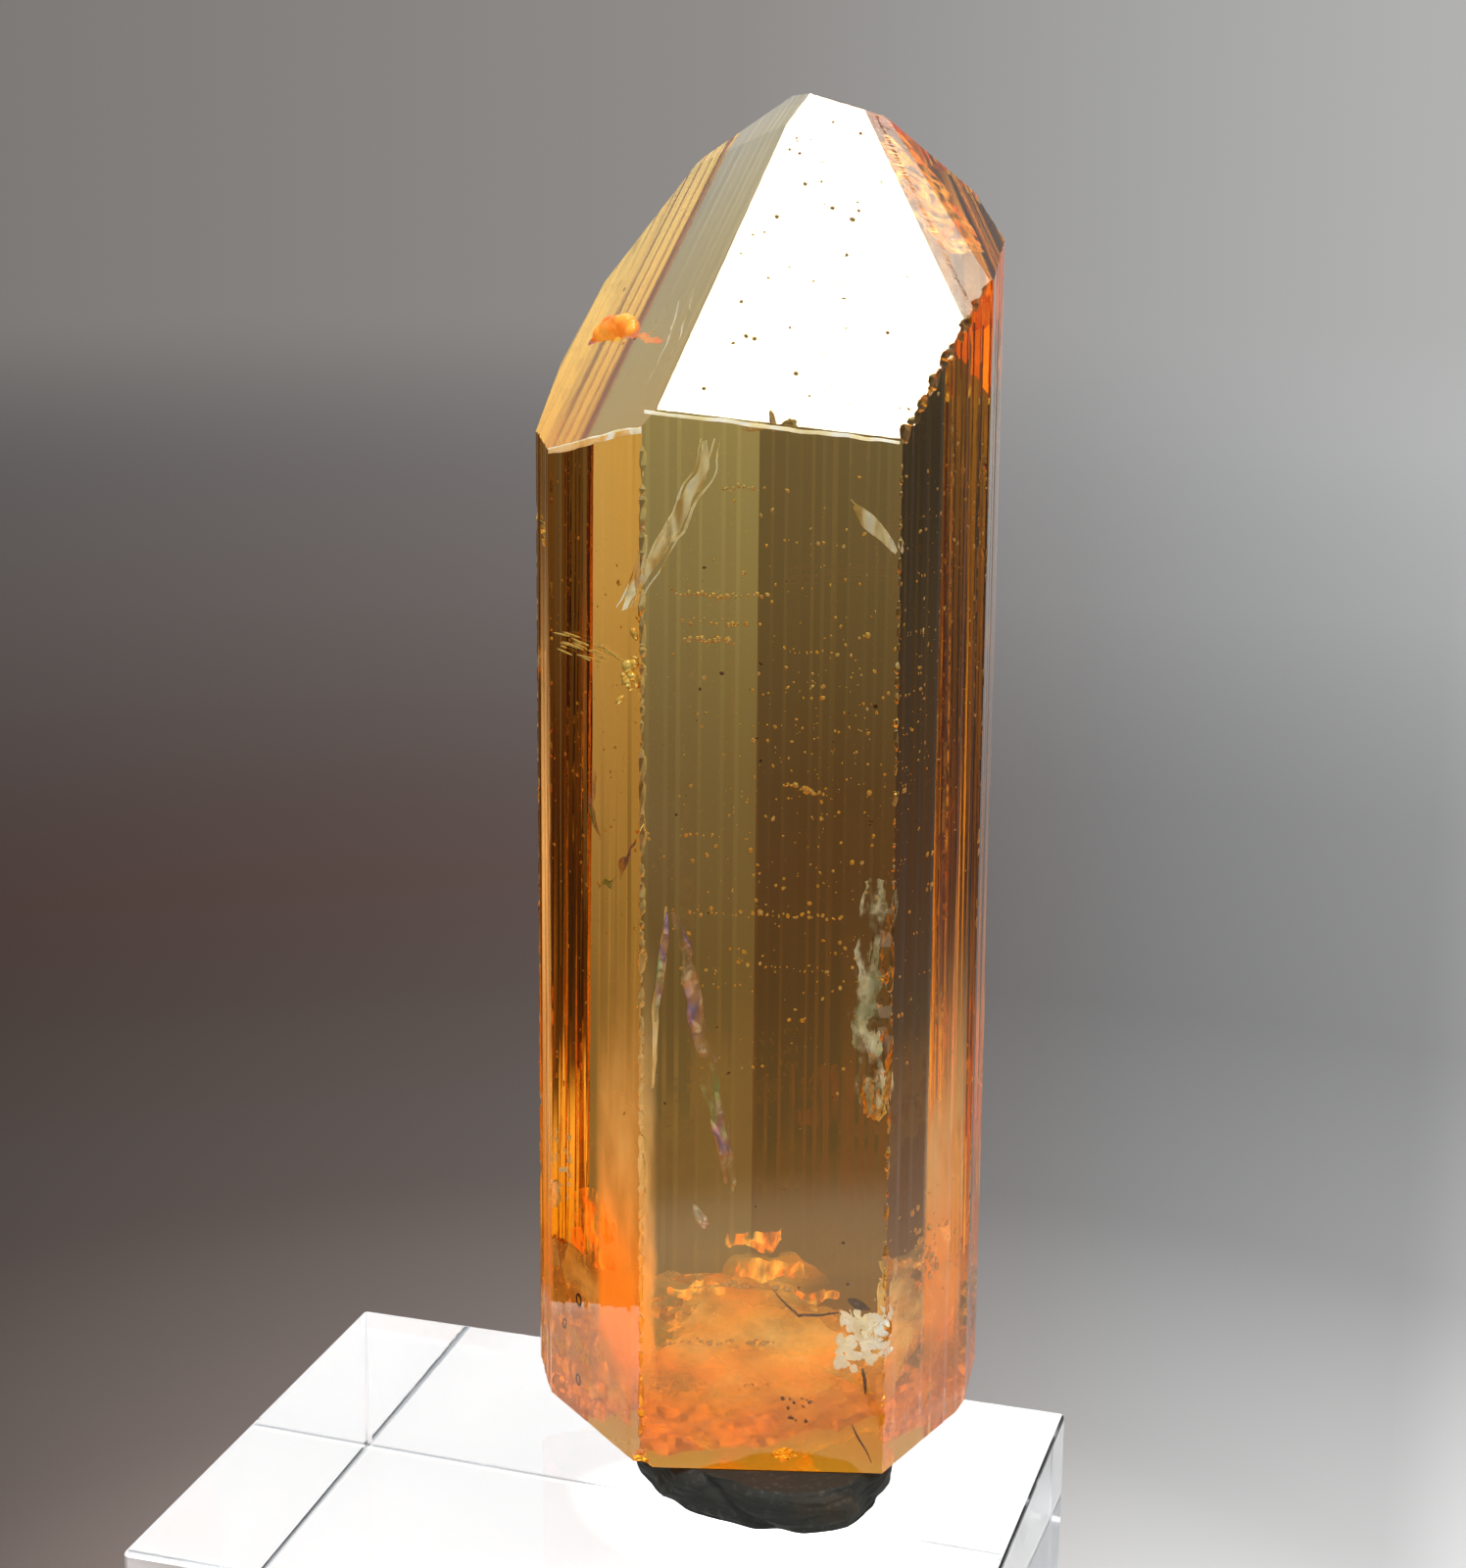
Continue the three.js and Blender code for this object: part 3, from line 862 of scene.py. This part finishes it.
grains = bmesh.new()
for number in range(DARK_GRAINS):
    x, z = draw.uniform(-3, 3.2), draw.uniform(1, 26)
    add_grain(grains, behind_front(x, z, draw.uniform(0.3, 4)), 0.012 + 0.03 * draw.random() ** 3, draw)
for number in range(12):
    at = behind_front(draw.uniform(0.6, 1.4), draw.uniform(1.4, 2.1), 0.5)
    add_grain(grains, at, draw.uniform(0.02, 0.05), draw)
inclusion(grains, "dark_grains", dark_grain)


# The gold nodule under the front left edge, with thin gold streaks that run from it to the left.
nodule = bmesh.new()
draw = random.Random(12)
for number in range(16):
    at = Vector((-3.42, -5.2, 21.75)) + Vector((draw.gauss(0, 0.1), draw.gauss(0, 0.06), draw.gauss(0, 0.28)))
    add_grain(nodule, at, draw.uniform(0.06, 0.17), draw, detail=2)
for number in range(26):
    share = draw.random()
    at = Vector((-3.6 - 1.9 * share, -4.8 + 2.6 * share, 22.15 - 0.6 * draw.random() ** 2 + draw.gauss(0, 0.06)))
    length = draw.uniform(0.12, 0.55)
    place = (
        Matrix.Translation(at)
        @ Matrix.Rotation(math.radians(124), 4, "Z")
        @ Matrix.Rotation(draw.uniform(-0.12, 0.12), 4, "Y")
        @ Matrix.Diagonal((length, 0.03, 0.03, 1))
    )
    bmesh.ops.create_icosphere(nodule, subdivisions=2, radius=1, matrix=place)
inclusion(nodule, "gold_nodule", nugget_gold)


def veil_material(name, stops, scale, stretch, cover, roughness, transmission, shine=0.0, scatter=0.0):
    """A thin sheet with colours and holes that follow noise. cover gives the noise for clear and full,
    and scatter the light that the cracks pass on from all round, as a faint glow."""
    material, shade, place = new_material(name)
    cloud = place.noise(scale, 4, stretch=stretch)
    hue = place.noise(scale * 0.7, 2, stretch=stretch)
    bump = shade.node("ShaderNodeBump", {}, {"Strength": 0.4, "Distance": 0.03 * MM, "Height": cloud})
    principled(shade, {
        "Base Color": hue.between(0.32, 0.68).ramp(*stops),
        "Metallic": shine,
        "Roughness": roughness,
        "IOR": 1.3,
        "Transmission Weight": transmission,
        "Alpha": cloud.between(*cover),
        "Emission Color": hue.between(0.32, 0.68).ramp(*stops),
        "Emission Strength": scatter,
        "Normal": bump,
    })
    return material


# The fracture blades: thin cream-coloured healed cracks near the top of the prism.
cream_veil = veil_material(
    "cream_veil", ((0, (0.66, 0.44, 0.12)), (0.4, (1.0, 0.88, 0.50)), (1, (1.0, 0.97, 0.80))),
    2600, (1, 1, 0.25), (0.28, 0.44), 0.3, 0.1, 0.25, 0.12,
)
blades = bmesh.new()
sideways = Vector((1, 0, 0.35))
feather = [behind_front(x, z, depth) for x, z, depth in (
    (-1.5, 27.75, 0.9), (-1.62, 27.0, 0.8), (-2.0, 26.3, 0.7), (-2.35, 25.4, 0.6), (-2.9, 24.6, 0.4),
    (-3.35, 23.9, 0.25), (-3.55, 23.4, 0.2),
)]
for shift, breadth, seed in ((0, 0.42, 1), (0.14, 0.12, 2), (-0.2, 0.1, 3), (0.3, 0.08, 4)):
    line = [point + Vector((shift, 0.1 * seed, 0)) for point in feather]
    add_blade(blades, line, breadth, sideways, 0.05, seed)
sliver = [behind_front(x, z, 0.5) for x, z in ((2.1, 26.15), (2.4, 25.85), (2.75, 25.5), (3.15, 25.0))]
add_blade(blades, sliver, 0.34, Vector((0.5, 0, 1)), 0.03, 6)
add_blade(blades, [point + Vector((-0.05, 0.2, 0.15)) for point in sliver], 0.07, Vector((0.5, 0, 1)), 0.03, 7)
green_edge = [behind_front(x, z, 0.7) for x, z in ((-2.5, 15.75), (-2.56, 14.6), (-2.72, 13.4), (-2.85, 10.8))]
add_blade(blades, green_edge, 0.2, Vector((1, 0, 0.1)), 0.03, 8)
upper = [Vector(point) for point in ((-2.2, -1.0, 30.4), (-2.3, -1.8, 30.0), (-2.5, -2.6, 29.4), (-2.9, -3.3, 28.6))]
add_blade(blades, upper, 0.14, Vector((0.7, 0.3, 0.5)), 0.05, 9)
add_blade(blades, [point + Vector((0.45, -0.1, 0.15)) for point in upper], 0.1, Vector((0.7, 0.3, 0.5)), 0.06, 10)
inclusion(blades, "fracture_blades", cream_veil)


# The rounded edge between the point and the prism: a narrow cream band just under it with a faint glow, a painted
# highlight where the edge catches the light.
edge_highlight = veil_material(
    "painted_edge_highlight", ((0, (0.90, 0.76, 0.40)), (0.5, (1.0, 0.90, 0.62)), (1, (1.0, 0.97, 0.82))),
    3000, (1, 1, 1), (0.10, 0.34), 0.4, 0.1, 0.0, 0.35,
)
highlight_bands = bmesh.new()
left_rim = [Vector((x, y, height_on(LEFT_PYRAMID, x, y) - 0.1)) for x, y in (
    (-5.8, -1.42), (-5.1, -2.45), (-4.45, -3.4), (-3.8, -4.35), (-3.1, -5.42),
)]
front_rim = [Vector((x, -5.46, height_on(FRONT_PYRAMID, x, -5.46) - 0.09)) for x in (-3.05, -1.5, 0, 1.6, 3.2)]
add_blade(highlight_bands, left_rim, 0.2, Vector((0, 0, 1)), 0.02, 1, rows=(60, 4), ends=0.7)
add_blade(highlight_bands, front_rim, 0.1, Vector((0, 0, 1)), 0.02, 2, rows=(80, 4), ends=0.7)
inclusion(highlight_bands, "painted_edge_highlights", edge_highlight)


# The flaky patch behind the front right edge, where the stone is splintered into pale green flakes.
flaky = veil_material(
    "flaky_patch", ((0, (0.40, 0.42, 0.24)), (0.5, (0.78, 0.80, 0.56)), (1, (0.98, 1.0, 0.84))),
    2400, (1, 1, 0.45), (0.44, 0.66), 0.35, 0.3, 0.2, 0.14,
)
splinters = bmesh.new()
for shift, breadth, seed in ((0, 0.55, 1), (-0.18, 0.4, 2), (0.1, 0.3, 3), (-0.35, 0.2, 4)):
    line = [behind_front(x + shift, z, 0.25 + 0.12 * seed) for x, z in (
        (2.95, 16.6), (2.85, 15.6), (2.75, 14.4), (2.7, 13.2), (2.8, 12.0), (2.95, 11.0), (3.0, 10.2),
    )]
    add_blade(splinters, line, breadth, Vector((1, 0, 0.1)), 0.12, seed, rows=(80, 12))
inclusion(splinters, "flaky_patch", flaky)


# The rainbow veils: cracks so thin that they show the colours of a thin film.
rainbow = veil_material(
    "rainbow_veil",
    ((0, (0.30, 0.62, 0.28)), (0.25, (0.85, 0.95, 0.62)), (0.45, (0.90, 0.55, 0.75)), (0.6, (0.48, 0.42, 0.95)),
     (0.8, (0.95, 0.62, 0.45)), (1, (0.95, 0.97, 0.80))),
    1500, (1, 1, 0.4), (0.36, 0.60), 0.2, 0.2, 0.3,
)
veils = bmesh.new()
main = [behind_front(x, z, 0.9) for x, z in (
    (-2.3, 15.6), (-2.05, 14.6), (-1.75, 13.2), (-1.5, 11.9), (-1.2, 10.4), (-0.95, 8.9), (-0.9, 8.2),
)]
add_blade(veils, main, 0.48, Vector((1, 0, 0.3)), 0.08, 1)
add_blade(veils, [point + Vector((0.18, 0.2, -0.4)) for point in main[2:]], 0.16, Vector((1, 0, 0.3)), 0.08, 2)
green = [behind_front(x, z, 0.6) for x, z in ((-2.45, 15.6), (-2.55, 14.6), (-2.65, 13.8), (-2.8, 12.6))]
add_blade(veils, green, 0.2, Vector((1, 0, 0)), 0.04, 3)
left = [Vector(point) for point in ((-4.6, -3.1, 19.6), (-4.4, -3.3, 18.7), (-4.55, -3.15, 17.8), (-4.2, -3.6, 16.9))]
add_blade(veils, left, 0.3, Vector((0.8, -0.6, 0.1)), 0.1, 4)
corner = [Vector(point) for point in ((-3.2, -5.1, 17.4), (-3.5, -4.7, 16.6), (-3.9, -4.2, 16.1), (-4.3, -3.5, 15.6))]
add_blade(veils, corner, 0.4, Vector((0.1, 0, 1)), 0.12, 5)
low = [behind_front(x, z, 0.5) for x, z in ((-1.75, 7.5), (-1.62, 7.2), (-1.5, 6.9))]
add_blade(veils, low, 0.25, Vector((1, 0, 0.2)), 0.08, 6)
inclusion(veils, "rainbow_veils", rainbow)


# The red inclusion: a flat splash of deep orange-red just under the left face of the point.
red_splash = veil_material(
    "red_splash", ((0, (0.62, 0.10, 0.01)), (0.5, (0.95, 0.24, 0.02)), (1, (1.0, 0.42, 0.05))),
    1600, (1, 0.5, 1), (0.02, 0.14), 0.3, 0.1, scatter=0.4,
)
splash = bmesh.new()
draw = random.Random(3)
leaf = [Vector(point) for point in ((-4.85, 2.0, 29.1), (-4.4, 1.3, 29.6), (-3.9, 0.5, 29.75), (-3.5, -0.3, 29.6))]
for number in range(15):
    share = number / 14
    girth = 0.10 + 0.15 * math.sin(math.pi * share) ** 0.8
    add_grain(splash, point_along(leaf, share), girth, draw, detail=2)
tail = [Vector(point) for point in ((-3.55, -0.2, 29.55), (-3.2, -1.1, 29.6), (-2.9, -2.0, 29.6), (-2.7, -2.5, 29.7))]
add_blade(splash, tail, 0.2, Vector((0.62, 0.2, 0.75)), 0.08, 2, thickness=0.04)
inclusion(splash, "red_inclusion", red_splash)


# The foot: milky orange clouds of tiny cracks, brighter patches with fine upright lines, a gold
# line that turns dark, and pale flakes at the right-hand edge.
milk = veil_material(
    "milky_cloud", ((0, (1.0, 0.42, 0.03)), (0.5, (1.0, 0.60, 0.10)), (1, (1.0, 0.80, 0.34))),
    420, (1, 1, 1.6), (0.35, 0.80), 0.85, 0.75, scatter=0.22,
)
clouds = bmesh.new()
for number, (depth, low, high) in enumerate(((0.5, 0.2, 3.2), (1.4, 0.3, 4.4), (2.6, 0.3, 4.8), (4.0, 0.4, 5.2))):
    line = [Vector((0.1, -5.53 + depth, low + (high - low) * share / 4)) for share in range(5)]
    add_blade(clouds, line, 6.4 - 0.5 * number, Vector((1, 0, 0)), 0.12, number, rows=(30, 40))
for middle, across, breadth, seed in (
    ((-4.0, -2.95), Vector((0.56, -0.83, 0)), 4.2, 8), ((4.0, -3.3), Vector((0.5, 0.86, 0)), 4.0, 9),
):
    line = [Vector((*middle, 0.7 + 1.3 * step)) for step in range(5)]
    add_blade(clouds, line, breadth, across, 0.12, seed, rows=(30, 30), ends=0.7)
inclusion(clouds, "milky_clouds", milk)

# Haze sheets just inside the front-left and front-right faces of the foot and along the narrow left strip: painted
# light, a faint glow for the light from the block scattered up into the foot, growing towards the foot, and for the
# gold highlights along the nicked left strip.
for name, x, y, high, full, breadth, across, glow, streaking in (
    ("left_haze_glow", -3.48, -4.13, 17, 6, 2.9, Vector((0.56, -0.83, 0)), 0.5, 0.4),
    ("right_haze_glow", 4.6, -2.3, 17, 6, 2.5, Vector((0.5, 0.86, 0)), 0.3, 0.4),
    ("left_strip_haze_glow", -5.98, -0.62, 28, 16, 1.6, Vector((-0.27, 0.96, 0)), 0.42, 0.03),
):
    haze_glow_material, shade, place = new_material(name)
    height = place.axis("Z") - crystal_low.z
    cloud = place.noise(500 if streaking > 0.1 else 3200, 3, stretch=(1, 1, streaking))
    rising = (height + cloud * 3 * MM).between(high * MM, full * MM) * height.between(1.2 * MM, 4 * MM)
    line_place = SPECIMEN @ Vector((x, y, 0))
    apart = shade.node("ShaderNodeVectorMath", {"operation": "SUBTRACT"}, {0: place, 1: line_place})
    level = shade.node("ShaderNodeVectorMath", {"operation": "MULTIPLY"}, {0: apart, 1: (1, 1, 0)})
    border = length_of(level).between(breadth * 0.5 * MM, breadth * 0.33 * MM)
    upper = cloud.between(0.3, 0.7).ramp((0, (1.0, 0.62, 0.22)), (1, (1.0, 0.80, 0.42)))
    colour = height.between(9 * MM, 4.5 * MM).mix(upper, (1.0, 0.44, 0.05, 1))
    principled(shade, {
        "Base Color": colour,
        "Roughness": 0.9,
        "IOR": 1.3,
        "Transmission Weight": 0.3,
        "Alpha": rising * border * cloud.between(0.2, 0.6) * 0.75,
        "Emission Color": colour,
        "Emission Strength": glow,
    })
    haze = bmesh.new()
    line = [Vector((x, y, 1.2 + (high - 1.2) * step / 4)) for step in range(5)]
    add_blade(haze, line, breadth, across, 0.03, x, rows=(40, 20), ends=1)
    inclusion(haze, name, haze_glow_material)

ember = veil_material(
    "ember_patch", ((0, (1.0, 0.28, 0.01)), (0.5, (1.0, 0.42, 0.03)), (1, (1.0, 0.60, 0.10))),
    3800, (1, 1, 0.3), (0.36, 0.72), 0.5, 0.35, scatter=0.5,
)
patches = bmesh.new()
for x, far_x, z, far_z, breadth, seed in (
    (-1.05, 0.6, 6.55, 6.6, 0.62, 1), (-0.6, 1.2, 5.85, 5.6, 0.5, 2), (-1.9, -0.4, 5.1, 5.3, 0.3, 3),
    (1.0, 2.1, 5.0, 4.9, 0.3, 4), (-2.4, -1.6, 4.9, 5.1, 0.35, 5),
):
    line = [behind_front(x + (far_x - x) * step / 4, z + (far_z - z) * step / 4, 0.9) for step in range(5)]
    add_blade(patches, line, breadth, Vector((0, 0, 1)), 0.15, seed, ends=0.4)
for height, breadth, seed in ((6.2, 1.7, 6), (5.2, 0.9, 7)):
    line = [Vector((-5.2 + 0.45 * step, -2.3 - 0.62 * step, height)) for step in range(4)]
    add_blade(patches, line, breadth, Vector((0, 0, 1)), 0.08, seed)
dome = [Vector(point) for point in ((2.4, 2.0, 34.4), (3.2, 1.2, 33.5), (4.0, 0.4, 32.6), (4.8, -0.5, 31.7))]
add_blade(patches, dome, 1.7, Vector((0.62, 0.78, -0.13)), 0.04, 8, ends=0.6)
inclusion(patches, "ember_patches", ember)

lines = bmesh.new()
gold_line = [behind_front(x, z, 0.3) for x, z in ((-1.7, 5.25), (-0.9, 5.32), (-0.2, 5.28), (0.35, 5.2))]
add_blade(lines, gold_line, 0.09, Vector((0, 0, 1)), 0.05, 1, thickness=0.05)
inclusion(lines, "gold_line", nugget_gold)
lines = bmesh.new()
dark_line = [behind_front(x, z, 0.3) for x, z in ((0.3, 5.2), (0.7, 4.85), (1.1, 4.52), (1.6, 4.55), (2.15, 4.62))]
add_blade(lines, dark_line, 0.07, Vector((0, 0, 1)), 0.05, 2, thickness=0.04)
wedge = [behind_front(x, z, 0.3) for x, z in ((2.35, 5.0), (2.6, 4.85), (2.95, 4.7))]
add_blade(lines, wedge, 0.26, Vector((0, 0, 1)), 0.05, 3, thickness=0.04)
streak = [behind_front(x, z, 0.3) for x, z in ((2.75, 3.0), (2.8, 2.7), (2.85, 2.25))]
add_blade(lines, streak, 0.1, Vector((1, 0, 0)), 0.03, 4, thickness=0.04)
scratch = [behind_front(x, z, 0.1) for x, z in ((2.5, 1.45), (2.7, 1.0), (3.05, 0.3))]
add_blade(lines, scratch, 0.05, Vector((1, 0, 0.3)), 0.02, 5, thickness=0.03)
inclusion(lines, "dark_lines", dark_grain)

pale_flake = veil_material(
    "pale_flake", ((0, (0.86, 0.76, 0.48)), (0.4, (1.0, 0.95, 0.74)), (1, (1.0, 0.99, 0.90))),
    2600, (1, 1, 0.5), (0.20, 0.40), 0.4, 0.1, 0.0, 0.22,
)
flakes = bmesh.new()
draw = random.Random(31)
for count, low_x, high_x, low_z, high_z, size in (
    (70, 2.1, 3.4, 3.0, 4.7, 0.20), (16, -5.9, -5.2, 6.2, 8.2, 0.12),
):
    for number in range(count):
        x = draw.uniform(low_x, high_x)
        middle = behind_front(x, draw.uniform(low_z, high_z), draw.uniform(0.1, 0.5))
        if x < -3.2:
            middle.y = -1.39 - (x + 5.93) * 1.48 + 0.25
        lean = Vector((draw.uniform(-1, 1), draw.uniform(-0.3, 0.3), draw.uniform(-1, 1))).normalized()
        span = lean * size * draw.uniform(0.5, 1.3)
        across = lean.cross(Vector((draw.uniform(-0.4, 0.4), 1, draw.uniform(-0.4, 0.4)))).normalized()
        line = [middle - span, middle, middle + span]
        add_blade(flakes, line, size * draw.uniform(0.6, 1.4), across, 0.03, number, (6, 4), 0.015)
inclusion(flakes, "pale_flakes", pale_flake)

rings = bmesh.new()
for x, y, z, radius in ((-5.03, -2.66, 3.45, 0.16), (-5.05, -2.66, 1.05, 0.14), (-5.5, -1.95, 2.4, 0.12)):
    place = (
        Matrix.Translation((x, y, z))
        @ Matrix.Rotation(math.radians(214 - 180), 4, "Z")
        @ Matrix.Rotation(math.radians(90), 4, "Y")
    )
    before = len(rings.edges)
    oval = place @ Matrix.Diagonal((1.3, 1, 1, 1))
    for share in (1, 0.6):
        bmesh.ops.create_circle(rings, segments=20, radius=radius * share, matrix=oval)
    band = bmesh.ops.bridge_loops(rings, edges=added_since(before, rings.edges))
    bmesh.ops.solidify(rings, geom=band["faces"], thickness=0.04)
inclusion(rings, "dark_rings", dark_grain)


# The light: many passes through the clear stone, and colours shown as they are.
scene = bpy.context.scene
scene.cycles.max_bounces = 9
scene.cycles.transmission_bounces = 9
scene.cycles.glossy_bounces = 6
scene.cycles.diffuse_bounces = 2
scene.cycles.transparent_max_bounces = 16
scene.cycles.sample_clamp_indirect = 8
scene.view_settings.view_transform = "Standard"

size = {
    "cad": [list(cad_low), list(cad_high)],
    "visual": [list(corner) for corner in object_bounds()],
}
